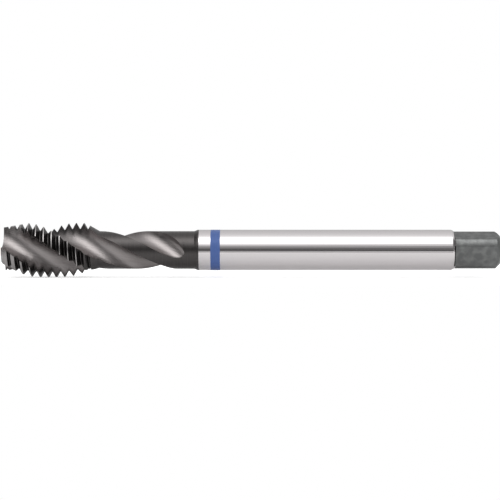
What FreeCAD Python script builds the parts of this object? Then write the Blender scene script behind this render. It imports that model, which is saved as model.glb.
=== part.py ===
import FreeCAD, Part
import math
import os
import Sketcher

os.makedirs("parts", exist_ok=True)
V = FreeCAD.Vector

# A machine tap with spiral flutes for a metric coarse thread, lying along X.
# The tip is at the -X end. The drive square's end face is at the origin.
doc = FreeCAD.newDocument("spiral_tap")

# Driving sizes, in millimetres and degrees
sheet = doc.addObject("Spreadsheet::Sheet", "sizes")
sizes = [
    ("overall_length", 110.0),
    ("thread_diameter", 12.0),
    ("thread_pitch", 1.75),
    ("thread_angle", 60.0),
    ("thread_crest_flat", 0.16),
    ("thread_root_flat", 0.10),
    ("thread_start_angle", 208.3),
    ("thread_length", 18.15),
    ("lead_length", 5.6),
    ("lead_tip_diameter", 10.05),
    ("back_taper_angle", 30.0),
    ("neck_diameter", 8.38),
    ("neck_end", 42.3),
    ("neck_flare", 0.75),
    ("shank_diameter", 9.0),
    ("shank_end_bevel", 0.75),
    ("square_flats", 7.0),
    ("square_length", 10.4),
    ("square_corner_diameter", 8.36),
    ("square_corner_length", 10.05),
    ("square_turn", 23.0),
    ("end_bevel", 1.0),
    ("flute_count", 3.0),
    ("flute_lead", 49.0),
    ("flute_start_angle", 13.9),
    ("flute_radius", 3.74),
    ("core_diameter", 4.36),
    ("face_wall_angle", 43.9),
    ("heel_wall_angle", 43.4),
    ("runout_start", 34.6),
    ("runout_radius", 7.58),
    ("cut_clearance", 1.0),
    ("resting_turn", -2.0),
]
for row, (alias, number) in enumerate(sizes, start=1):
    sheet.set(f"A{row}", alias)
    sheet.set(f"B{row}", str(number))
    sheet.setAlias(f"B{row}", alias)
doc.recompute()

body = doc.addObject("PartDesign::Body", "thread_tap")
body.Label = "thread_tap"
# The whole tap is turned about its axis by resting_turn, as it lies on its lands.
body.Placement = FreeCAD.Placement(V(0, 0, 0), FreeCAD.Rotation(V(1, 0, 0), 10))
body.setExpression("Placement.Base.x", "-sizes.overall_length")
body.setExpression("Placement.Rotation.Angle", "sizes.resting_turn * 1deg")


def origin_item(role):
    for item in body.Origin.OriginFeatures:
        if item.Role == role:
            return item


def new_sketch(name, plane):
    sketch = body.newObject("Sketcher::SketchObject", name)
    sketch.AttachmentSupport = [(origin_item(plane), "")]
    sketch.MapMode = "FlatFace"
    return sketch


def dimension(sketch, name, formula, *constraint):
    index = sketch.addConstraint(Sketcher.Constraint(*constraint))
    sketch.renameConstraint(index, name)
    sketch.setExpression(f"Constraints.{name}", formula)


def closed_outline(sketch, corners):
    """Draws straight sides round the corners, each (name, x formula, y formula, x guess, y guess)."""
    count = len(corners)
    for i in range(count):
        start = V(corners[i][3], corners[i][4], 0)
        end = V(corners[(i + 1) % count][3], corners[(i + 1) % count][4], 0)
        sketch.addGeometry(Part.LineSegment(start, end), False)
    for i in range(count):
        sketch.addConstraint(Sketcher.Constraint("Coincident", i, 2, (i + 1) % count, 1))
    for i, (name, across, up, _, _) in enumerate(corners):
        if across == "0":
            sketch.addConstraint(Sketcher.Constraint("PointOnObject", i, 1, -2))
        else:
            dimension(sketch, f"{name}_x", across, "DistanceX", -1, 1, i, 1, corners[i][3])
        if up == "0":
            sketch.addConstraint(Sketcher.Constraint("PointOnObject", i, 1, -1))
        else:
            dimension(sketch, f"{name}_y", up, "DistanceY", -1, 1, i, 1, corners[i][4])


def solid_after(step, before=None):
    """Recomputes, and makes sure that the step took something away."""
    doc.recompute()
    volume = body.Shape.Volume
    print(f"{step}: {volume:.2f} mm3")
    if before is not None and volume >= before:
        raise RuntimeError(f"{step} did not cut")
    return volume


# Turned blank: lead chamfer, full thread diameter, back taper, neck, shank and square stock
neck_start = ("sizes.thread_length + (sizes.thread_diameter - sizes.neck_diameter)"
              " / 2 / tan(sizes.back_taper_angle * 1deg)")
corner_start = "sizes.overall_length - sizes.square_corner_length"
profile = new_sketch("blank_profile", "XY_Plane")
closed_outline(profile, [
    ("tip_centre", "0", "0", 0, 0),
    ("tip_rim", "0", "sizes.lead_tip_diameter / 2", 0, 5),
    ("lead_end", "sizes.lead_length", "sizes.thread_diameter / 2", 5.6, 6),
    ("thread_end", "sizes.thread_length", "sizes.thread_diameter / 2", 18, 6),
    ("neck_start", neck_start, "sizes.neck_diameter / 2", 21, 4.2),
    ("neck_stop", "sizes.neck_end", "sizes.neck_diameter / 2", 42, 4.2),
    ("shank_start", "sizes.neck_end + sizes.neck_flare", "sizes.shank_diameter / 2", 43, 4.5),
    ("shank_stop", corner_start + " - sizes.shank_end_bevel", "sizes.shank_diameter / 2", 99.2, 4.5),
    ("square_stock", corner_start, "sizes.square_corner_diameter / 2", 100, 4.2),
    ("bevel_start", "sizes.overall_length - sizes.end_bevel", "sizes.square_corner_diameter / 2", 109, 4.2),
    ("end_rim", "sizes.overall_length", "sizes.square_corner_diameter / 2 - sizes.end_bevel", 110, 3.2),
    ("end_centre", "sizes.overall_length", "0", 110, 0),
])
blank = body.newObject("PartDesign::Revolution", "blank")
blank.Profile = profile
blank.ReferenceAxis = (profile, ["H_Axis"])
blank.Angle = 360
volume = solid_after("blank")

# Spiral flutes. Each section is a round bottom of flute_radius on the core, two straight walls
# tangent to it, and a round mouth clear of the thread. The sections turn with the flute's lead.
# Past runout_start they also rise out of the neck, as a grinding wheel leaves the cut.
wall_reach = "sizes.thread_diameter / 2 + sizes.cut_clearance"
centre_out = "sizes.core_diameter / 2 + sizes.flute_radius"


def flute_section(index, station, rise):
    sketch = new_sketch(f"flute_section_{index}", "YZ_Plane")
    sketch.AttachmentOffset = FreeCAD.Placement(V(0, 0, 1), FreeCAD.Rotation(V(0, 0, 1), 10))
    sketch.setExpression("AttachmentOffset.Base.z", station)
    sketch.setExpression("AttachmentOffset.Rotation.Angle",
                         f"sizes.flute_start_angle + 360 * ({station}) / sizes.flute_lead")
    radius = sheet.flute_radius
    out = sheet.core_diameter / 2 + radius
    face = math.radians(sheet.face_wall_angle)
    heel = math.radians(sheet.heel_wall_angle)
    reach = sheet.thread_diameter / 2 + sheet.cut_clearance
    centre = V(out, 0, 0)
    face_foot = centre + V(-math.sin(face), math.cos(face), 0) * radius
    heel_foot = centre + V(-math.sin(heel), -math.cos(heel), 0) * radius
    face_top = V(reach * math.cos(face), reach * math.sin(face), 0)
    heel_top = V(reach * math.cos(heel), -reach * math.sin(heel), 0)
    bottom = Part.ArcOfCircle(Part.Circle(centre, V(0, 0, 1), radius), math.pi / 2 + face, 3 * math.pi / 2 - heel)
    mouth = Part.ArcOfCircle(Part.Circle(V(0, 0, 0), V(0, 0, 1), reach), -heel, face)
    sketch.addGeometry(bottom, False)
    sketch.addGeometry(Part.LineSegment(heel_foot, heel_top), False)
    sketch.addGeometry(mouth, False)
    sketch.addGeometry(Part.LineSegment(face_top, face_foot), False)
    sketch.addConstraint(Sketcher.Constraint("Tangent", 0, 2, 1, 1))
    sketch.addConstraint(Sketcher.Constraint("Coincident", 1, 2, 2, 1))
    sketch.addConstraint(Sketcher.Constraint("Coincident", 2, 2, 3, 1))
    sketch.addConstraint(Sketcher.Constraint("Tangent", 3, 2, 0, 1))
    sketch.addConstraint(Sketcher.Constraint("PointOnObject", 0, 3, -1))
    sketch.addConstraint(Sketcher.Constraint("PointOnObject", 2, 3, -1))
    dimension(sketch, "centre_out", f"{centre_out} + {rise}", "DistanceX", -1, 1, 0, 3, out)
    dimension(sketch, "mouth_out", rise, "DistanceX", -1, 1, 2, 3, 0)
    dimension(sketch, "bottom_radius", "sizes.flute_radius", "Radius", 0, radius)
    dimension(sketch, "mouth_radius", wall_reach, "Radius", 2, reach)
    dimension(sketch, "face_angle", "sizes.face_wall_angle * 1deg", "Angle", -1, 1, 3, 2, face)
    dimension(sketch, "heel_angle", "sizes.heel_wall_angle * 1deg", "Angle", 1, 1, -1, 1, heel)
    return sketch


helical_length = sheet.runout_start + sheet.cut_clearance
helical_steps = math.ceil(helical_length / sheet.flute_lead * 360 / 20)
runout_steps = 7
rise_stop = "((sizes.neck_diameter - sizes.core_diameter) / 2 + sizes.cut_clearance)"
runout_length = f"sqrt(2 * sizes.runout_radius * {rise_stop})"
sections = []
for i in range(helical_steps):
    part_way = i / helical_steps
    station = f"-sizes.cut_clearance + {part_way} * (sizes.runout_start + sizes.cut_clearance)"
    sections.append(flute_section(len(sections), station, "0"))
for i in range(runout_steps + 1):
    part_way = i / runout_steps
    station = f"sizes.runout_start + {part_way} * {runout_length}"
    sections.append(flute_section(len(sections), station, f"{part_way ** 2} * {rise_stop}"))
doc.recompute()
flute = body.newObject("PartDesign::SubtractiveLoft", "flute")
flute.Profile = sections[0]
flute.Sections = sections[1:]
flute.Ruled = False
flute.Closed = False
flute.Refine = False
volume = solid_after("first flute", volume)

flutes = body.newObject("PartDesign::PolarPattern", "flutes")
flutes.Originals = [flute]
flutes.Axis = (origin_item("X_Axis"), [""])
flutes.Angle = 360
flutes.setExpression("Occurrences", "sizes.flute_count")
flutes.Refine = False
body.Tip = flutes
volume = solid_after("flutes", volume)

# Right-hand thread groove: it starts ahead of the tip and ends in the air over the neck.
# The groove's mouth lies outside the full diameter, where half of the crest's flat would be left.
groove_sketch = new_sketch("thread_groove_profile", "XY_Plane")
half_angle = "tan(sizes.thread_angle / 2 * 1deg)"
mouth_half = "(sizes.thread_pitch - sizes.thread_crest_flat / 2) / 2"
mouth_radius = f"sizes.thread_diameter / 2 + sizes.thread_crest_flat / 4 / {half_angle}"
root_half = "sizes.thread_root_flat / 2"
root_radius = f"({mouth_radius} - ({mouth_half} - {root_half}) / {half_angle})"
groove_centre = "-2 * sizes.thread_pitch - sizes.thread_pitch * sizes.thread_start_angle / 360"
closed_outline(groove_sketch, [
    ("root_front", f"{groove_centre} - {root_half}", root_radius, -3.55, 4.6),
    ("root_back", f"{groove_centre} + {root_half}", root_radius, -3.45, 4.6),
    ("mouth_back", f"{groove_centre} + {mouth_half}", mouth_radius, -2.7, 6.1),
    ("mouth_front", f"{groove_centre} - {mouth_half}", mouth_radius, -4.3, 6.1),
])
groove = body.newObject("PartDesign::SubtractiveHelix", "thread_groove")
groove.Profile = groove_sketch
groove.ReferenceAxis = (groove_sketch, ["H_Axis"])
groove.Mode = "pitch-height-angle"
groove.setExpression("Pitch", "sizes.thread_pitch")
groove.setExpression("Height", f"{neck_start} + 3 * sizes.thread_pitch")
groove.Angle = 0
groove.LeftHanded = False
groove.Reversed = False
groove.Refine = False
volume = solid_after("thread groove", volume)

# Drive square: one flat milled past the corners, then turned into four
flat_sketch = new_sketch("flat_profile", "YZ_Plane")
flat_sketch.AttachmentOffset = FreeCAD.Placement(V(0, 0, 99), FreeCAD.Rotation(V(0, 0, 1), 10))
flat_sketch.setExpression("AttachmentOffset.Base.z", "sizes.overall_length - sizes.square_length")
flat_sketch.setExpression("AttachmentOffset.Rotation.Angle", "sizes.square_turn")
outside = "sizes.shank_diameter / 2 + sizes.cut_clearance"
closed_outline(flat_sketch, [
    ("flat_left", "sizes.square_flats / 2", f"-({outside})", 3.5, -5.5),
    ("outer_left", outside, f"-({outside})", 5.5, -5.5),
    ("outer_right", outside, outside, 5.5, 5.5),
    ("flat_right", "sizes.square_flats / 2", outside, 3.5, 5.5),
])
flat = body.newObject("PartDesign::Pocket", "flat")
flat.Profile = flat_sketch
flat.setExpression("Length", "sizes.square_length + sizes.cut_clearance")
flat.Reversed = True
flat.Refine = False
volume = solid_after("first flat", volume)

flats = body.newObject("PartDesign::PolarPattern", "flats")
flats.Originals = [flat]
flats.Axis = (origin_item("X_Axis"), [""])
flats.Angle = 360
flats.Occurrences = 4
flats.Refine = False
body.Tip = flats
volume = solid_after("square", volume)

for item in doc.Objects:
    if "Invalid" in item.State or "Error" in item.State:
        raise RuntimeError(f"{item.Label} failed: {item.State}")
for piece in [body]:
    shape = piece.Shape
    if shape.isNull() or not shape.isValid():
        raise RuntimeError(f"{piece.Label} has no valid shape")
    print(piece.Label, "solids", len(shape.Solids), "faces", len(shape.Faces), shape.BoundBox)
    shape.exportStep(f"parts/{piece.Label}.step")
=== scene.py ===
import math
import bmesh
import bpy
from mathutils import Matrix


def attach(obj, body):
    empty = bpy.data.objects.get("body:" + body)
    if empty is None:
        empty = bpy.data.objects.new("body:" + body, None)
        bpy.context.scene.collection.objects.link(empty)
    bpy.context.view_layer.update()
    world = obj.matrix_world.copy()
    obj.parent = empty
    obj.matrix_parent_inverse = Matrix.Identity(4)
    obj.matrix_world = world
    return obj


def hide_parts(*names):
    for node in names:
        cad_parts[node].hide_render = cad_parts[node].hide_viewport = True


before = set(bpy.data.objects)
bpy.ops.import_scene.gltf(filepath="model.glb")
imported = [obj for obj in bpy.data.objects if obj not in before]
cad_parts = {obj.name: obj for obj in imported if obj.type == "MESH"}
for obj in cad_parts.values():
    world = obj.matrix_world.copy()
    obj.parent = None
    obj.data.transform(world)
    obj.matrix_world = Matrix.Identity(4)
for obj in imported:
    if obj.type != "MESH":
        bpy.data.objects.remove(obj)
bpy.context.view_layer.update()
print("frame loaded")

# The tap in millimetres and degrees. Stations run from the tip along the axis,
# and angles turn about +X from +Y towards +Z, before the resting turn.
tapSizes = {
    "overallLength": 110.0,
    "restingTurn": -2.0,
    "threadRadius": 6.0,
    "pitch": 1.75,
    "threadHalfAngle": 30.0,
    "crestFlat": 0.16,
    "rootFlat": 0.10,
    "grooveStart": 208.3,      # where the thread groove crosses the tip face
    "threadLength": 18.15,
    "threadEnd": 20.6,         # no thread is left past this station
    "leadLength": 5.6,
    "leadTipRadius": 5.025,
    "taperAngle": 30.0,
    "neckRadius": 4.19,
    "neckEnd": 42.3,
    "neckFlare": 0.75,
    "shankRadius": 4.5,
    "fluteLead": 49.0,
    "fluteStart": 13.9,        # the first flute's middle at the tip face
    "fluteRadius": 3.74,
    "coreRadius": 2.18,
    "faceWall": 43.9,          # the cutting face, from the flute's middle
    "heelWall": 43.4,
    "runoutStart": 34.6,
    "runoutRadius": 7.58,
    "twistStop": 41.0,         # the flutes are gone here, and the mesh columns run straight
    "coatingEnd": 43.3,        # the dark coating reaches just past the neck's flare
    "ringStart": 45.9,
    "ringWidth": 2.1,
    "ringEdge": 0.03,
    "ringThickness": 0.015,
    "shankBevel": 0.75,
    "flatLength": 10.4,
    "cornerLength": 10.05,
    "cornerRadius": 4.18,
    "squareFlats": 7.0,
    "squareTurn": 23.0,
    "endBevel": 1.0,
    "shoulderShadeLine": 0.3,           # painted shade: the black line where a flat runs out in its shoulder
}
metre = 1000                   # in millimetres
fullTurn = 2 * math.pi
quarter = math.pi / 2


# Small helpers that let node maths read as a formula

class Term:
    def __init__(self, tree, value):
        self.tree = tree
        self.value = value

    def __add__(self, other):
        return mathNode(self.tree, "ADD", self, other)

    def __radd__(self, other):
        return mathNode(self.tree, "ADD", other, self)

    def __sub__(self, other):
        return mathNode(self.tree, "SUBTRACT", self, other)

    def __rsub__(self, other):
        return mathNode(self.tree, "SUBTRACT", other, self)

    def __mul__(self, other):
        return mathNode(self.tree, "MULTIPLY", self, other)

    def __rmul__(self, other):
        return mathNode(self.tree, "MULTIPLY", other, self)

    def __truediv__(self, other):
        return mathNode(self.tree, "DIVIDE", self, other)

    def __rtruediv__(self, other):
        return mathNode(self.tree, "DIVIDE", other, self)


def plug(tree, value, socket):
    if isinstance(value, Term):
        value = value.value
    if isinstance(value, bpy.types.NodeSocket):
        tree.links.new(value, socket)
    else:
        socket.default_value = value


def mathNode(tree, operation, *values):
    node = tree.nodes.new("ShaderNodeMath")
    node.operation = operation
    for socket, value in zip(node.inputs, values):
        plug(tree, value, socket)
    return Term(tree, node.outputs[0])


def mathFunction(operation):
    def build(*values):
        tree = next(value.tree for value in values if isinstance(value, Term))
        return mathNode(tree, operation, *values)
    return build


smaller = mathFunction("MINIMUM")
larger = mathFunction("MAXIMUM")
isBelow = mathFunction("LESS_THAN")
isAbove = mathFunction("GREATER_THAN")
floorOf = mathFunction("FLOOR")
roundOf = mathFunction("ROUND")
wrapped = mathFunction("FLOORED_MODULO")
absolute = mathFunction("ABSOLUTE")
rootOf = mathFunction("SQRT")
signOf = mathFunction("SIGN")
sine = mathFunction("SINE")
cosine = mathFunction("COSINE")
tangent = mathFunction("TANGENT")
arcSine = mathFunction("ARCSINE")
arcCosine = mathFunction("ARCCOSINE")
arcTangent = mathFunction("ARCTAN2")
radians = mathFunction("RADIANS")


def clamped(value, low, high):
    return larger(smaller(value, high), low)


def choose(condition, whenTrue, whenFalse):      # blends where the condition is between 0 and 1
    return whenFalse + (whenTrue - whenFalse) * condition


def smoothStep(share):
    return share * share * (3 - 2 * share)


def vectorOf(tree, x, y, z=0.0):
    node = tree.nodes.new("ShaderNodeCombineXYZ")
    for socket, value in zip(node.inputs, (x, y, z)):
        plug(tree, value, socket)
    return Term(tree, node.outputs[0])


def partsOf(tree, vector):
    node = tree.nodes.new("ShaderNodeSeparateXYZ")
    plug(tree, vector, node.inputs[0])
    return [Term(tree, socket) for socket in node.outputs]


def newTree(name, kind, inputs, outputs):
    tree = bpy.data.node_groups.new(name, kind)
    for label, socketType in outputs.items():
        tree.interface.new_socket(label, in_out="OUTPUT", socket_type=socketType)
    for label, socketType in inputs.items():
        tree.interface.new_socket(label, in_out="INPUT", socket_type=socketType)
    source = tree.nodes.new("NodeGroupInput")
    sink = tree.nodes.new("NodeGroupOutput")
    terms = {label: Term(tree, source.outputs[label]) for label in inputs}
    return tree, terms, sink


def useGroup(tree, group, values, kind="GeometryNodeGroup"):
    node = tree.nodes.new(kind)
    node.node_tree = group
    for socket in node.inputs:
        plug(tree, values[socket.name], socket)
    return {socket.name: Term(tree, socket) for socket in node.outputs}


# The mesh of the tap's skin: its columns run along the flutes and lands, its rows run round the tap
skin = {
    "fluteColumns": 24,        # mesh columns across one flute
    "landColumns": 32,         # and across one land
    "edgeRounds": 3,           # rounds that settle where a flute's edge meets the outside
    "firstRidge": -2,          # thread ridges counted from the one nearest the tip face
    "ridges": 14,
    "leastFlank": 0.02,        # what is left of a flank between the root and a crest cut down low
    "flatColumns": 16,         # behind the flutes, columns across one flat of the square
    "cornerColumns": 8,        # and across one rounded corner
    "squareColumn": 15,        # where in its quarter of the square the first land starts
    "squareQuarter": 3,        # and which quarter that is
    "squareFrom": 50.0,        # the columns begin to move round to the square's edges here
    "squareBy": 96.0,          # and have reached them here
    "uvUnit": 10.0,            # millimetres of station to one unit of the UV map
    "weldDistance": 0.0000004,
    "sharpAngle": 20.0,
}
number = "NodeSocketFloat"
sizeInputs = {label: number for label in tapSizes}


# Radius of the tap's outside, without the flutes, at a station and an angle
def tapSurfaceTree():
    tree, t, sink = newTree(
        "tapSurface", "GeometryNodeTree",
        {"station": number, "angle": number, "squareRow": number, "ringRow": number, **sizeInputs},
        {"radius": number})
    station = t["station"]
    leadRise = t["threadRadius"] - t["leadTipRadius"]
    lead = t["leadTipRadius"] + leadRise * station / t["leadLength"]
    taper = t["threadRadius"] - (station - t["threadLength"]) * tangent(radians(t["taperAngle"]))
    flareRise = t["shankRadius"] - t["neckRadius"]
    flare = t["neckRadius"] + flareRise * (station - t["neckEnd"]) / t["neckFlare"]
    bevelStart = t["overallLength"] - t["cornerLength"] - t["shankBevel"]
    bevelDrop = t["shankRadius"] - t["cornerRadius"]
    bevel = t["shankRadius"] - bevelDrop * (station - bevelStart) / t["shankBevel"]
    turned = smaller(smaller(lead, taper), t["threadRadius"])
    turned = larger(turned, clamped(flare, t["neckRadius"], t["shankRadius"]))
    turned = smaller(turned, larger(bevel, t["cornerRadius"]))
    grooveAt = station - t["pitch"] * (t["angle"] - radians(t["grooveStart"])) / fullTurn
    fromCrest = t["pitch"] / 2 - absolute(wrapped(grooveAt + t["pitch"] / 2, t["pitch"]) - t["pitch"] / 2)
    flankSlope = 1 / tangent(radians(t["threadHalfAngle"]))
    deepest = t["pitch"] / 2 - t["rootFlat"] / 2
    thread = t["threadRadius"] - (smaller(fromCrest, deepest) - t["crestFlat"] / 2) * flankSlope
    fromFlat = wrapped(t["angle"] - radians(t["squareTurn"]) + quarter / 2, quarter) - quarter / 2
    flat = choose(t["squareRow"], t["squareFlats"] / 2 / cosine(fromFlat), t["overallLength"])
    radius = smaller(smaller(turned, thread), flat) + t["ringRow"] * t["ringThickness"]
    plug(tree, radius, sink.inputs["radius"])
    return tree


# Angle of a flute's wall at a radius, from the flute's middle, and the radius of its bottom
def fluteWallTree():
    tree, t, sink = newTree(
        "fluteWall", "GeometryNodeTree",
        {"radius": number, "wall": number, "rise": number, **sizeInputs},
        {"angle": number, "bottom": number})
    radius = t["radius"]
    bend = t["fluteRadius"]
    centre = t["coreRadius"] + bend + t["rise"]
    wall = radians(t["wall"])
    apex = centre - bend / sine(wall)
    tangentPoint = rootOf(centre * centre - 2 * centre * bend * sine(wall) + bend * bend)
    arcSquares = centre * centre + radius * radius - bend * bend
    onArc = arcCosine(smaller(arcSquares / (2 * centre * radius), 1.0))
    onWall = wall - arcSine(clamped(apex * sine(wall) / larger(radius, tangentPoint), -1.0, 1.0))
    plug(tree, choose(isAbove(radius, tangentPoint), onWall, onArc), sink.inputs["angle"])
    plug(tree, centre - bend, sink.inputs["bottom"])
    return tree


# Station and angle of a point on a mesh row. Rows of the thread follow its helix,
# four to a ridge: the two sides of its root and the two edges of its crest.
def rowPointTree():
    tree, t, sink = newTree(
        "rowPoint", "GeometryNodeTree",
        {"threadRow": number, "ridge": number, "side": number, "crestRow": number,
         "plainStation": number, "baseAngle": number, "turn": number, **sizeInputs},
        {"station": number, "angle": number})
    advance = t["pitch"] * (t["baseAngle"] + t["turn"]) / fullTurn
    skew = 1 - t["pitch"] / t["fluteLead"]
    ridgeStation = (t["ridge"] + advance) / skew
    flankSlope = 1 / tangent(radians(t["threadHalfAngle"]))
    leadSlope = (t["threadRadius"] - t["leadTipRadius"]) / t["leadLength"]
    taperSlope = tangent(radians(t["taperAngle"]))
    cut = (larger((t["leadLength"] - ridgeStation) * leadSlope, 0.0)
           + larger((ridgeStation - t["threadLength"]) * taperSlope, 0.0))
    slope = (isBelow(ridgeStation, t["leadLength"]) * leadSlope
             - isAbove(ridgeStation, t["threadLength"]) * taperSlope)
    deepest = t["pitch"] / 2 - t["rootFlat"] / 2
    crestHalf = (cut + flankSlope * t["crestFlat"] / 2) / (flankSlope + t["side"] * slope)
    crestHalf = clamped(crestHalf, t["crestFlat"] / 2, deepest - skin["leastFlank"])
    offset = t["side"] * choose(t["crestRow"], crestHalf, deepest)
    threadStation = clamped((t["ridge"] + offset + advance) / skew, 0.0, t["threadEnd"])
    station = choose(t["threadRow"], threadStation, t["plainStation"])
    twist = fullTurn * smaller(station, t["twistStop"]) / t["fluteLead"]
    plug(tree, station, sink.inputs["station"])
    plug(tree, t["baseAngle"] + t["turn"] + twist, sink.inputs["angle"])
    return tree


surfaceTree = tapSurfaceTree()
wallTree = fluteWallTree()
rowTree = rowPointTree()
bodyTree, t, skinOutput = newTree(
    "tapSkin", "GeometryNodeTree",
    {**sizeInputs, "coated": "NodeSocketMaterial", "ground": "NodeSocketMaterial",
     "paint": "NodeSocketMaterial", "tempered": "NodeSocketMaterial"},
    {"Geometry": "NodeSocketGeometry"})
perFlute = skin["fluteColumns"] + skin["landColumns"]
columnCount = 3 * perFlute
threadRows = 4 * skin["ridges"]

# Plain rows: where each zone ends, and how many rows it takes
neckDrop = t["threadRadius"] - t["neckRadius"]
neckStart = t["threadLength"] + neckDrop / tangent(radians(t["taperAngle"]))
ringStop = t["ringStart"] + t["ringWidth"]
cornerStart = t["overallLength"] - t["cornerLength"]
flatStart = t["overallLength"] - t["flatLength"]
zones = [
    ("neckStart", neckStart, 1),
    ("fluteRise", t["runoutStart"], 20),
    ("fluteGone", t["twistStop"], 32),
    ("neckEnd", t["neckEnd"], 2),
    ("shankStart", t["neckEnd"] + t["neckFlare"], 1),
    ("coatingEnd", t["coatingEnd"], 1),
    ("ringStart", t["ringStart"], 2),
    ("ringFace", t["ringStart"] + t["ringEdge"], 1),
    ("ringBack", ringStop - t["ringEdge"], 1),
    ("ringStop", ringStop, 1),
    ("shankStop", cornerStart - t["shankBevel"], 16),
    ("flatStart", flatStart, 1),
    ("squareStart", flatStart, 1),
    ("shoulderShadeStop", flatStart + t["shoulderShadeLine"], 1),
    ("cornerStart", cornerStart, 1),
    ("squareStop", t["overallLength"] - t["endBevel"], 6),
]

# The last three rows are the end bevel, its rim and the middle of the end
squareStop = threadRows + sum(rows for label, stop, rows in zones)
bevelRow = squareStop + 1
rimRow = squareStop + 2
endRow = squareStop + 3

# Row and column of each grid point, from the flat grid's own positions. A face's row
# and column are those of its middle, so they lie between two whole numbers.
grid = bodyTree.nodes.new("GeometryNodeMeshGrid")
grid.inputs["Size X"].default_value = columnCount
grid.inputs["Size Y"].default_value = endRow
grid.inputs["Vertices X"].default_value = columnCount + 1
grid.inputs["Vertices Y"].default_value = endRow + 1
flatPosition = bodyTree.nodes.new("GeometryNodeInputPosition")
flatX, flatY = partsOf(bodyTree, flatPosition.outputs[0])[:2]
exactColumn = flatX + columnCount / 2
exactRow = flatY + endRow / 2
column = roundOf(exactColumn)
row = roundOf(exactRow)

# Thread rows
threadRow = isBelow(row, threadRows + 0.5) * isAbove(row, 0.5)
ridgeIndex = floorOf((row - 1) / 4)
inRidge = row - 1 - 4 * ridgeIndex
side = signOf(inRidge - 1.5)
crestRow = isBelow(absolute(inRidge - 1.5), 1)
firstCrest = t["pitch"] / 2 - t["pitch"] * t["grooveStart"] / 360
ridge = wrapped(firstCrest, t["pitch"]) + t["pitch"] * (ridgeIndex + skin["firstRidge"])

# Plain rows
rowOf = {}
plainStation = t["threadEnd"]
before = t["threadEnd"]
reached = threadRows
for label, stop, rows in zones:
    plainStation = plainStation + (stop - before) / rows * clamped(row - reached, 0.0, rows)
    before = stop
    reached += rows
    rowOf[label] = reached
plainStation = plainStation * isAbove(row, 0.5)
squareRow = isAbove(row, rowOf["squareStart"] - 0.5)
ringRow = isAbove(row, rowOf["ringFace"] - 0.5) * isBelow(row, rowOf["ringBack"] + 0.5)

# Columns: across a flute from its heel (-1) to its face (+1), then across the land (0 to 1)
flute = floorOf(column / perFlute)
inPart = column - flute * perFlute
isLand = isAbove(inPart, skin["fluteColumns"] + 0.5)
across = inPart / (skin["fluteColumns"] / 2) - 1
onLand = (inPart - skin["fluteColumns"]) / skin["landColumns"]
baseAngle = radians(t["fluteStart"]) + flute * (fullTurn / 3)
rise = larger(plainStation - t["runoutStart"], 0.0)
rise = rise * rise / (2 * t["runoutRadius"])
rowInputs = {label: t[label] for label in tapSizes}
rowInputs.update(threadRow=threadRow, ridge=ridge, side=side, crestRow=crestRow,
                 plainStation=plainStation, baseAngle=baseAngle, rise=rise,
                 squareRow=squareRow, ringRow=ringRow)


def wallAt(edgeRadius, wall):
    return useGroup(bodyTree, wallTree, {**rowInputs, "radius": edgeRadius, "wall": wall})


def outsideAt(place):
    return useGroup(bodyTree, surfaceTree, {**rowInputs, **place})["radius"]


# Where a flute's edge meets the outside: a few rounds settle it, because both surfaces are smooth
def fluteEdge(wall, turnSign, turnFrom):
    edgeRadius = t["threadRadius"]
    for settling in range(skin["edgeRounds"]):
        edgeTurn = turnFrom + turnSign * wallAt(edgeRadius, wall)["angle"]
        edgeRadius = outsideAt(useGroup(bodyTree, rowTree, {**rowInputs, "turn": edgeTurn}))
    settled = wallAt(edgeRadius, wall)
    return edgeRadius, turnFrom + turnSign * settled["angle"], settled["bottom"]


faceRadius, faceTurn, bottom = fluteEdge(t["faceWall"], 1, 0.0)
heelRadius, heelTurn = fluteEdge(t["heelWall"], -1, isLand * (fullTurn / 3))[:2]
onFace = isAbove(across, 0.0)
edge = choose(onFace, faceRadius, heelRadius)
fluteRadius = smaller(bottom + (edge - bottom) * (across * across), edge)
fluteTurn = signOf(across) * wallAt(fluteRadius, choose(onFace, t["faceWall"], t["heelWall"]))["angle"]
landTurn = faceTurn + (heelTurn - faceTurn) * onLand
point = useGroup(bodyTree, rowTree, {**rowInputs, "turn": choose(isLand, landTurn, fluteTurn)})

# Behind the flutes the columns move round until the square's edges fall on them
quarterColumns = float(skin["flatColumns"] + skin["cornerColumns"])
landColumn = flute * skin["landColumns"] + larger(inPart - skin["fluteColumns"], 0.0)
evenAngle = radians(t["fluteStart"]) + fullTurn * t["twistStop"] / t["fluteLead"]
evenAngle = evenAngle + landColumn * (fullTurn / (3 * skin["landColumns"]))
squareIndex = landColumn + skin["squareColumn"]
inQuarter = wrapped(squareIndex, quarterColumns)
alongBevel = clamped((plainStation - (cornerStart - t["shankBevel"])) / t["shankBevel"], 0.0, 1.0)
cornerHalf = t["shankRadius"] - (t["shankRadius"] - t["cornerRadius"]) * alongBevel
flatHalf = arcCosine(t["squareFlats"] / 2 / cornerHalf)
onFlat = clamped(inQuarter / skin["flatColumns"], 0.0, 1.0) * 2 - 1
onCorner = clamped((inQuarter - skin["flatColumns"]) / skin["cornerColumns"], 0.0, 1.0)
flatMiddle = (radians(t["squareTurn"])
              + (floorOf(squareIndex / quarterColumns) + skin["squareQuarter"]) * quarter)
squareAngle = flatMiddle + flatHalf * onFlat + (quarter - 2 * flatHalf) * onCorner
moved = (plainStation - skin["squareFrom"]) / (skin["squareBy"] - skin["squareFrom"])
moved = smoothStep(clamped(moved, 0.0, 1.0))
straight = isAbove(row, rowOf["fluteGone"] - 0.5)
angle = choose(straight, evenAngle + (squareAngle - evenAngle) * moved, point["angle"])

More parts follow.
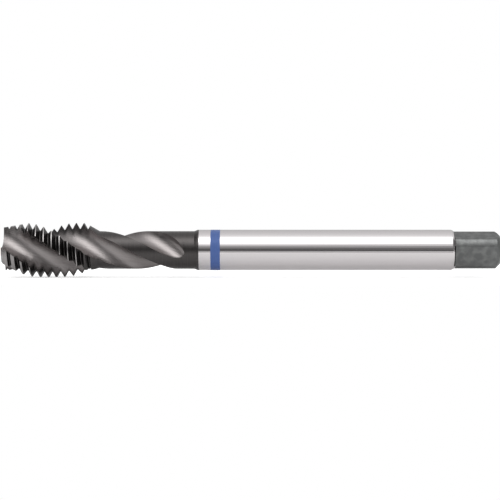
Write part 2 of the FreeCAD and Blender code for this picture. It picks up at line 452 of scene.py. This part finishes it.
# Radius: the flute's own inside it, the outside elsewhere; the last rows close the end
station = point["station"]
outside = outsideAt({"station": station, "angle": angle})
inside = (1 - isLand) * (1 - straight)
radius = choose(inside, smaller(fluteRadius, outside), outside)
isRim = isAbove(row, rimRow - 0.5)
bevelStation = t["overallLength"] - t["endBevel"] + t["cornerRadius"] - radius
station = choose(isAbove(row, bevelRow - 0.5), bevelStation, station)
station = choose(isRim, t["overallLength"], station)
radius = choose(isRim, t["cornerRadius"] - t["endBevel"], radius)
radius = radius * isBelow(row, endRow - 0.5) * isAbove(row, 0.5)
shownAngle = angle + radians(t["restingTurn"])
skinPosition = vectorOf(bodyTree, (station - t["overallLength"]) / metre,
                        radius * cosine(shownAngle) / metre, radius * sine(shownAngle) / metre)

# How far the flutes' bright finish reaches, and how far painted shade darkens it towards their edges. Shares
# run from a flute's middle, 0, to its edges, 1.
finishAndShadeReach = {
    "paintedEdgeShade": 0.80,          # painted shade: how dark a flute's edges are painted
    "heelFrom": 0.60,          # painted shade darkens from here on towards the heel
    "runoutHeelFrom": 0.48,
    "heelSteepness": 4.0,
    "faceFrom": 0.82,          # and from here on towards the cutting face's edge
    "faceSteepness": 7.0,
    "neckFrom": 17.0,          # in the neck the heel stays bright
    "neckFade": 6.0,
    "runoutAfter": 1.0,        # until just past the start of the run-out
    "runoutFade": 3.0,
    "neckFace": 0.6,           # how much of the face's edge stays bright there
    "leadCrest": 0.6,          # the lead's crests are duller than the thread's
}


def stored(geometry, name, kind, domain, value):
    node = bodyTree.nodes.new("GeometryNodeStoreNamedAttribute")
    node.data_type = kind
    node.domain = domain
    node.inputs["Name"].default_value = name
    plug(bodyTree, geometry, node.inputs["Geometry"])
    plug(bodyTree, value, node.inputs["Value"])
    return node.outputs["Geometry"]


def zoneBetween(first, last):
    return isAbove(exactRow, first) * isBelow(exactRow, last)


# The UV map holds the station and the turns, stored on the flat grid so that the seam is clean
unrolled = vectorOf(bodyTree, station / skin["uvUnit"], angle / fullTurn)
geometry = stored(grid.outputs["Mesh"], "UVMap", "FLOAT2", "CORNER", unrolled)

# The ground flutes, their bright tone painted darker towards their edges as shade
exactInPart = wrapped(exactColumn, float(perFlute))
exactAcross = exactInPart / (skin["fluteColumns"] / 2) - 1
heelFrom = choose(isAbove(station, t["runoutStart"]), finishAndShadeReach["runoutHeelFrom"], finishAndShadeReach["heelFrom"])
towardsHeel = clamped((-1 * exactAcross - heelFrom) * finishAndShadeReach["heelSteepness"], 0.0, 1.0)
towardsFace = clamped((exactAcross - finishAndShadeReach["faceFrom"]) * finishAndShadeReach["faceSteepness"], 0.0, 1.0)
pastThread = clamped((station - finishAndShadeReach["neckFrom"]) / finishAndShadeReach["neckFade"], 0.0, 1.0)
toRunout = t["runoutStart"] + finishAndShadeReach["runoutAfter"] - station
inNeck = pastThread * clamped(toRunout / finishAndShadeReach["runoutFade"], 0.0, 1.0)
paintedShadeShare = larger(towardsHeel * (1 - inNeck), towardsFace * (1 - inNeck * finishAndShadeReach["neckFace"]))
fluteFinishWithShade = isBelow(exactInPart, skin["fluteColumns"]) * zoneBetween(1.0, rowOf["fluteGone"])
# painted shade: the flute's bright tone is darkened towards its heel and its cutting face's edge, less so in
# the neck
fluteFinishWithShade = fluteFinishWithShade * (1 - finishAndShadeReach["paintedEdgeShade"] * paintedShadeShare)
geometry = stored(geometry, "fluteFinishWithShade", "FLOAT", "FACE", fluteFinishWithShade)

# The ground crests
ridgePart = wrapped(exactRow - 1, 4.0)
crestFace = (isAbove(ridgePart, 1) * isBelow(ridgePart, 2) * isAbove(exactInPart, skin["fluteColumns"])
             * zoneBetween(1.0, threadRows) * isBelow(station, t["threadLength"]))
crestFace = crestFace * choose(isBelow(station, t["leadLength"]), finishAndShadeReach["leadCrest"], 1.0)
geometry = stored(geometry, "crestFace", "FLOAT", "FACE", crestFace)

# The square, and the zones of the four materials in the order of their names below
exactLand = floorOf(exactColumn / perFlute) * skin["landColumns"] + exactInPart - skin["fluteColumns"]
onFlatFace = isBelow(wrapped(exactLand + skin["squareColumn"], quarterColumns), skin["flatColumns"])
isSquare = larger(onFlatFace * isAbove(exactRow, rowOf["flatStart"]),
                  isAbove(exactRow, rowOf["cornerStart"]))
# painted shade: a black line on each flat where it runs out in its shoulder
shoulderShadeFace = onFlatFace * zoneBetween(rowOf["flatStart"], rowOf["shoulderShadeStop"])
geometry = stored(geometry, "shoulderShadeLine", "FLOAT", "FACE", shoulderShadeFace)
isRing = zoneBetween(rowOf["ringStart"], rowOf["ringStop"])
zone = isAbove(exactRow, rowOf["coatingEnd"]) + isRing + 2 * isSquare
geometry = stored(geometry, "zone", "INT", "FACE", roundOf(zone))

# The flat grid becomes the skin: placed, welded along its seam, smooth but for its sharp edges
placed = bodyTree.nodes.new("GeometryNodeSetPosition")
plug(bodyTree, geometry, placed.inputs["Geometry"])
plug(bodyTree, skinPosition, placed.inputs["Position"])
welded = bodyTree.nodes.new("GeometryNodeMergeByDistance")
welded.inputs["Distance"].default_value = skin["weldDistance"]
plug(bodyTree, placed.outputs[0], welded.inputs["Geometry"])
edgeAngle = bodyTree.nodes.new("GeometryNodeInputMeshEdgeAngle")
flatEnough = isBelow(Term(bodyTree, edgeAngle.outputs["Unsigned Angle"]), math.radians(skin["sharpAngle"]))
smooth = bodyTree.nodes.new("GeometryNodeSetShadeSmooth")
smooth.domain = "EDGE"
plug(bodyTree, welded.outputs[0], smooth.inputs["Geometry"])
plug(bodyTree, flatEnough, smooth.inputs["Shade Smooth"])
realized = bodyTree.nodes.new("GeometryNodeRealizeInstances")
plug(bodyTree, smooth.outputs[0], realized.inputs["Geometry"])
zoneOf = bodyTree.nodes.new("GeometryNodeInputNamedAttribute")
zoneOf.data_type = "INT"
zoneOf.inputs["Name"].default_value = "zone"
zoneValue = Term(bodyTree, zoneOf.outputs["Attribute"])
finished = realized.outputs["Geometry"]
for index, name in enumerate(["coated", "ground", "paint", "tempered"]):
    dressed = bodyTree.nodes.new("GeometryNodeSetMaterial")
    plug(bodyTree, finished, dressed.inputs["Geometry"])
    plug(bodyTree, t[name], dressed.inputs["Material"])
    plug(bodyTree, isBelow(absolute(zoneValue - index), 0.5), dressed.inputs["Selection"])
    finished = dressed.outputs["Geometry"]
plug(bodyTree, finished, skinOutput.inputs["Geometry"])
print("skin tree built")


# Materials
def shaderOf(material):
    return material.node_tree.nodes["Principled BSDF"]


def principled(name, **values):
    material = bpy.data.materials.new(name)
    material.use_nodes = True
    for label, value in values.items():
        shaderOf(material).inputs[label.replace("_", " ")].default_value = value
    return material


def attributeValue(tree, name):
    node = tree.nodes.new("ShaderNodeAttribute")
    node.attribute_name = name
    return Term(tree, node.outputs["Fac"])


def blended(tree, factor, first, second):
    node = tree.nodes.new("ShaderNodeMix")
    node.data_type = "RGBA"
    plug(tree, factor, node.inputs["Factor"])
    plug(tree, first, node.inputs["A"])
    plug(tree, second, node.inputs["B"])
    return Term(tree, node.outputs["Result"])


def noiseAt(tree, vector, scale, detail):
    noise = tree.nodes.new("ShaderNodeTexNoise")
    noise.inputs["Scale"].default_value = scale
    noise.inputs["Detail"].default_value = detail
    plug(tree, vector, noise.inputs["Vector"])
    return Term(tree, noise.outputs["Fac"])


# Marks of the grinding wheel: fine lines that keep one coordinate, and broad worn patches.
# Their noise is given to a millimetre, and every surface with marks shares it.
markGrain = {
    "lineAlong": 1.5, "lineDetail": 3.0,
    "patchAcross": 4.0, "patchAlong": 2.0, "patchDetail": 2.0,
}


def grindingMarksTree():
    tree, t, sink = newTree(
        "grindingMarks", "ShaderNodeTree",
        {"line": number, "along": number, "density": number}, {"height": number, "patches": number})
    lines = vectorOf(tree, t["line"] * t["density"], t["along"] * markGrain["lineAlong"])
    plug(tree, noiseAt(tree, lines, 1.0, markGrain["lineDetail"]), sink.inputs["height"])
    patches = vectorOf(tree, t["line"] * markGrain["patchAcross"], t["along"] * markGrain["patchAlong"])
    plug(tree, noiseAt(tree, patches, 1.0, markGrain["patchDetail"]), sink.inputs["patches"])
    return tree


marksTree = grindingMarksTree()


# A material with marks: round the tap where alongFlutes is 0, along the flutes where it is 1
def withMarks(material, marks, alongFlutes):
    tree = material.node_tree
    uv = tree.nodes.new("ShaderNodeUVMap")
    uv.uv_map = "UVMap"
    unrolledX, turns = partsOf(tree, uv.outputs[0])[:2]
    millimetres = unrolledX * skin["uvUnit"]
    aroundTap = turns * (fullTurn * tapSizes["shankRadius"])
    acrossFlute = (turns - millimetres / tapSizes["fluteLead"]) * (fullTurn * tapSizes["neckRadius"])
    line = choose(alongFlutes, acrossFlute, millimetres)
    along = choose(alongFlutes, millimetres, aroundTap) * marks["stretch"]
    values = {"line": line, "along": along, "density": marks["density"]}
    found = useGroup(tree, marksTree, values, "ShaderNodeGroup")
    bump = tree.nodes.new("ShaderNodeBump")
    bump.inputs["Strength"].default_value = marks["strength"]
    bump.inputs["Distance"].default_value = marks["depth"]
    plug(tree, found["height"], bump.inputs["Height"])
    plug(tree, bump.outputs["Normal"], shaderOf(material).inputs["Normal"])
    return found


# The cutting part's dark coating, ground bright again in the flutes and on the crests; the flutes' bright
# tone carries painted shade towards their edges
coating = {
    "land": (0.075, 0.070, 0.069, 1), "landRoughness": 0.34,
    "flute": (0.300, 0.278, 0.275, 1), "fluteRoughness": 0.36,
    "crest": (0.430, 0.412, 0.408, 1), "crestRoughness": 0.30,
    "patchDepth": 0.45,
    "fluteMarksFrom": 0.1,     # with this share of the flute's finish, the marks run along the flute
    "marks": {"density": 3.5, "stretch": 0.10, "strength": 1.0, "depth": 0.00003},
}


def coatedSteel():
    material = principled("coatedSteel", Metallic=1.0)
    tree = material.node_tree
    shader = shaderOf(material)
    # this share carries the flutes' bright finish together with the painted shade at their edges
    fluteAndShadeShare = attributeValue(tree, "fluteFinishWithShade")
    crestShare = attributeValue(tree, "crestFace")
    found = withMarks(material, coating["marks"], isAbove(fluteAndShadeShare, coating["fluteMarksFrom"]))
    tone = blended(tree, fluteAndShadeShare, coating["land"], coating["flute"])
    tone = blended(tree, crestShare, tone, coating["crest"])
    worn = clamped(1 + (found["patches"] - 0.5) * coating["patchDepth"], 0.0, 1.5)
    shaded = tree.nodes.new("ShaderNodeVectorMath")
    shaded.operation = "SCALE"
    plug(tree, tone, shaded.inputs[0])
    plug(tree, worn, shaded.inputs["Scale"])
    plug(tree, shaded.outputs[0], shader.inputs["Base Color"])
    roughness = choose(fluteAndShadeShare, coating["fluteRoughness"], coating["landRoughness"])
    roughness = choose(crestShare, coating["crestRoughness"], roughness)
    plug(tree, roughness, shader.inputs["Roughness"])
    return material


# The ground shank
groundFinish = {
    "colour": (0.630, 0.604, 0.610, 1),
    "smoothRoughness": 0.085, "dullRoughness": 0.115,
    "marks": {"density": 12.0, "stretch": 0.05, "strength": 0.25, "depth": 0.000004},
}


def groundSteel():
    material = principled("groundSteel", Base_Color=groundFinish["colour"], Metallic=1.0)
    found = withMarks(material, groundFinish["marks"], 0.0)
    dull = choose(found["patches"], groundFinish["dullRoughness"], groundFinish["smoothRoughness"])
    plug(material.node_tree, dull, shaderOf(material).inputs["Roughness"])
    return material


# The ring's paint is rolled on, so it is a little uneven
ringFinish = {
    "thin": (0.090, 0.156, 0.385, 1), "thick": (0.062, 0.112, 0.320, 1),
    "thinRoughness": 0.28, "thickRoughness": 0.36,
    "specular": 0.22,
    "marks": {"density": 6.0, "stretch": 0.6, "strength": 0.4, "depth": 0.00001},
}


def ringPaint():
    material = principled("ringPaint", Metallic=0.0, Specular_IOR_Level=ringFinish["specular"])
    tree = material.node_tree
    shader = shaderOf(material)
    found = withMarks(material, ringFinish["marks"], 0.0)
    tone = blended(tree, found["patches"], ringFinish["thin"], ringFinish["thick"])
    plug(tree, tone, shader.inputs["Base Color"])
    roughness = choose(found["patches"], ringFinish["thickRoughness"], ringFinish["thinRoughness"])
    plug(tree, roughness, shader.inputs["Roughness"])
    return material


# The square kept the mottled scale of its tempering
scale = {
    # the last colour is painted shade, near black, for the line along each flat's shoulder
    "dark": (0.135, 0.138, 0.137, 1), "pale": (0.185, 0.189, 0.187, 1), "shoulderShadeTone": (0.004, 0.004, 0.004, 1),
    "darkRoughness": 0.42, "paleRoughness": 0.36,
    "spots": 700.0,            # noise to a metre
    "spotDetail": 4.0,
    "paleFrom": 0.42, "paleSteepness": 4.0,
}


def temperedSteel():
    material = principled("temperedSteel", Metallic=1.0)
    tree = material.node_tree
    shader = shaderOf(material)
    onPiece = tree.nodes.new("ShaderNodeTexCoord")
    spots = noiseAt(tree, onPiece.outputs["Object"], scale["spots"], scale["spotDetail"])
    paleShare = clamped((spots - scale["paleFrom"]) * scale["paleSteepness"], 0.0, 1.0)
    tone = blended(tree, paleShare, scale["dark"], scale["pale"])
    # painted shade: near black painted along the shoulder where each flat runs out
    tone = blended(tree, attributeValue(tree, "shoulderShadeLine"), tone, scale["shoulderShadeTone"])
    plug(tree, tone, shader.inputs["Base Color"])
    roughness = choose(paleShare, scale["paleRoughness"], scale["darkRoughness"])
    plug(tree, roughness, shader.inputs["Roughness"])
    return material


# The tap
tapBody = bpy.data.objects.new("tapBody", bpy.data.meshes.new("tapBody"))
bpy.context.scene.collection.objects.link(tapBody)
modifier = tapBody.modifiers.new("skin", "NODES")
modifier.node_group = bodyTree
given = {**tapSizes, "coated": coatedSteel(), "ground": groundSteel(), "paint": ringPaint(),
         "tempered": temperedSteel()}
for item in bodyTree.interface.items_tree:
    if item.in_out == "INPUT":
        modifier[item.identifier] = given[item.name]
print("materials ready")
depsgraph = bpy.context.evaluated_depsgraph_get()
skinMesh = bpy.data.meshes.new_from_object(tapBody.evaluated_get(depsgraph),
                                           preserve_all_data_layers=True, depsgraph=depsgraph)
tapBody.modifiers.remove(modifier)
tapBody.data = skinMesh
skinMesh.name = "tapBody"
materialOf = [face.material_index - 1 for face in skinMesh.polygons]      # slot 0 came out empty
skinMesh.materials.pop(index=0)
skinMesh.polygons.foreach_set("material_index", materialOf)
check = bmesh.new()
check.from_mesh(skinMesh)
openEdges = sum(1 for edge in check.edges if not edge.is_manifold)
volume = check.calc_volume(signed=True) * metre ** 3
print("tap skin:", len(check.faces), "faces,", openEdges, "open edges, volume", round(volume, 1))
check.free()
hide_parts("thread_tap")
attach(tapBody, "root")
print("tap placed")

# Floor under the thread's crests
floorFinish = {
    "gap": 0.00002,            # below the crests
    "box": (-0.16, -0.030, 0.09, 0.12),      # its front edge lets the studio's dark side mirror low
    "colour": (0.90, 0.90, 0.90, 1),
    "roughness": 0.7,
    "glow": 0.50,              # added where the camera sees the floor, so that it is white
    "mirrored": 0.17,          # and where metal mirrors it
}


def floorWhite():
    material = principled("floorWhite", Base_Color=floorFinish["colour"], Roughness=floorFinish["roughness"],
                          Emission_Color=(1, 1, 1, 1))
    tree = material.node_tree
    path = tree.nodes.new("ShaderNodeLightPath")
    inMetal = Term(tree, path.outputs["Is Glossy Ray"])
    inGlass = Term(tree, path.outputs["Is Transmission Ray"])
    glow = (Term(tree, path.outputs["Is Camera Ray"]) * floorFinish["glow"]
            + larger(inMetal, inGlass) * floorFinish["mirrored"])
    plug(tree, glow, shaderOf(material).inputs["Emission Strength"])
    return material


left, front, right, back = floorFinish["box"]
low = -tapSizes["threadRadius"] / metre - floorFinish["gap"]
floorMesh = bpy.data.meshes.new("floor")
floorCorners = [(left, front, low), (right, front, low), (right, back, low), (left, back, low)]
floorMesh.from_pydata(floorCorners, [], [(0, 1, 2, 3)])
floorMesh.materials.append(floorWhite())
floor = bpy.data.objects.new("floor", floorMesh)
bpy.context.scene.collection.objects.link(floor)

# Metal mirrors this studio by direction: pale below, a softbox above, dark on the camera's side.
# The camera and the light on the object see plain white. Each stop has the angle round the
# tap's axis (0 looks to the camera's side, 90 up, -90 down), the room's level across the tap,
# its level on the tip's side, and the level that the softbox adds.
studioLight = [
    (-180, 0.50, 0.30, 0.0), (-150, 0.45, 0.30, 0.0), (-110, 0.60, 0.30, 0.0), (-60, 0.95, 0.30, 0.0),
    (-20, 0.95, 0.30, 0.0), (-13, 0.85, 0.30, 0.0), (-8, 0.42, 0.20, 0.0), (-4, 0.13, 0.10, 0.0),
    (3, 0.11, 0.10, 0.0), (8, 0.22, 0.12, 0.0), (14, 0.30, 0.14, 0.05), (22, 0.25, 0.14, 0.30),
    (29, 0.20, 0.14, 0.80), (36, 0.16, 0.12, 1.42), (43, 0.15, 0.10, 1.95), (50, 0.15, 0.10, 2.80),
    (68, 0.15, 0.10, 2.80), (76, 0.18, 0.10, 1.40), (90, 0.30, 0.12, 0.76), (105, 0.50, 0.20, 0.42),
    (135, 0.70, 0.25, 0.06), (160, 0.60, 0.30, 0.0), (180, 0.50, 0.30, 0.0),
]
softbox = {
    "brightest": 4.0,          # the ramps hold each level as a share of this
    "middle": 65.0,            # the angle at which the box is centred along the tap
    "lean": 0.008,             # higher up it stands further to the right, by this for a degree
    "leanFrom": 20.0, "leanTo": 110.0,
    "halfWidth": 0.42, "fade": 0.20,      # widths are sines along the tap
    "tipSide": -0.52,          # the tip's side is darker past this
    "farEnd": 0.92,            # past this only a look along the tap mirrors the studio
    "endFade": 0.05,
    "endLevel": 0.70,
}


def lightRamp(sky, turnShare, levelColumn):
    ramp = sky.nodes.new("ShaderNodeValToRGB")
    plug(sky, turnShare, ramp.inputs["Fac"])
    stops = ramp.color_ramp.elements
    while len(stops) < len(studioLight):
        stops.new(0.5)                   # each is moved to its own place below
    for stop, values in zip(stops, studioLight):
        stop.position = values[0] / 360 + 0.5
        stop.color = (values[levelColumn] / softbox["brightest"],) * 3 + (1,)
    return Term(sky, ramp.outputs["Color"]) * softbox["brightest"]


def studioWorld():
    world = bpy.data.worlds.new("studio")
    world.use_nodes = True
    sky = world.node_tree
    background = sky.nodes["Background"]
    background.inputs["Color"].default_value = (1, 1, 1, 1)
    look = sky.nodes.new("ShaderNodeTexCoord")
    turned = sky.nodes.new("ShaderNodeVectorRotate")      # the studio is turned with the tap
    turned.rotation_type = "X_AXIS"
    turned.inputs["Angle"].default_value = math.radians(-tapSizes["restingTurn"])
    plug(sky, look.outputs["Generated"], turned.inputs["Vector"])
    alongTap, depth, height = partsOf(sky, turned.outputs[0])
    turnShare = arcTangent(height, depth * -1) / fullTurn + 0.5
    room, tipRoom, box = (lightRamp(sky, turnShare, levelColumn) for levelColumn in (1, 2, 3))
    degrees = clamped((turnShare - 0.5) * 360, softbox["leanFrom"], softbox["leanTo"])
    fromMiddle = absolute(alongTap - (degrees - softbox["middle"]) * softbox["lean"])
    inBox = 1 - clamped((fromMiddle - softbox["halfWidth"]) / softbox["fade"], 0.0, 1.0)
    tipShare = clamped((softbox["tipSide"] - alongTap) / softbox["fade"], 0.0, 1.0)
    studio = choose(tipShare, tipRoom, room) + box * inBox
    farShare = clamped((absolute(alongTap) - softbox["farEnd"]) / softbox["endFade"], 0.0, 1.0)
    studio = choose(farShare, softbox["endLevel"], studio)
    path = sky.nodes.new("ShaderNodeLightPath")
    seen = larger(Term(sky, path.outputs["Is Camera Ray"]), Term(sky, path.outputs["Is Transmission Ray"]))
    level = choose(Term(sky, path.outputs["Is Glossy Ray"]), studio, 1.0)
    plug(sky, choose(seen, 1.0, level), background.inputs["Strength"])
    return world


bpy.context.scene.world = studioWorld()
print("studio ready")

view = {
    "lens": 114.4,
    "sensorWidth": 36,
    "distance": 0.353,         # from the tap's axis
    "lookAt": -0.05538,        # along the tap
}
tilt = math.radians(-tapSizes["restingTurn"])             # the camera is turned with the tap
camera = bpy.data.objects.new("camera", bpy.data.cameras.new("camera"))
bpy.context.scene.collection.objects.link(camera)
bpy.context.scene.camera = camera
camera.data.lens = view["lens"]
camera.data.sensor_width = view["sensorWidth"]
camera.location = (view["lookAt"], -view["distance"] * math.cos(tilt), view["distance"] * math.sin(tilt))
camera.rotation_euler = (math.pi / 2 - tilt, 0, 0)

bpy.context.scene.view_settings.view_transform = "Standard"
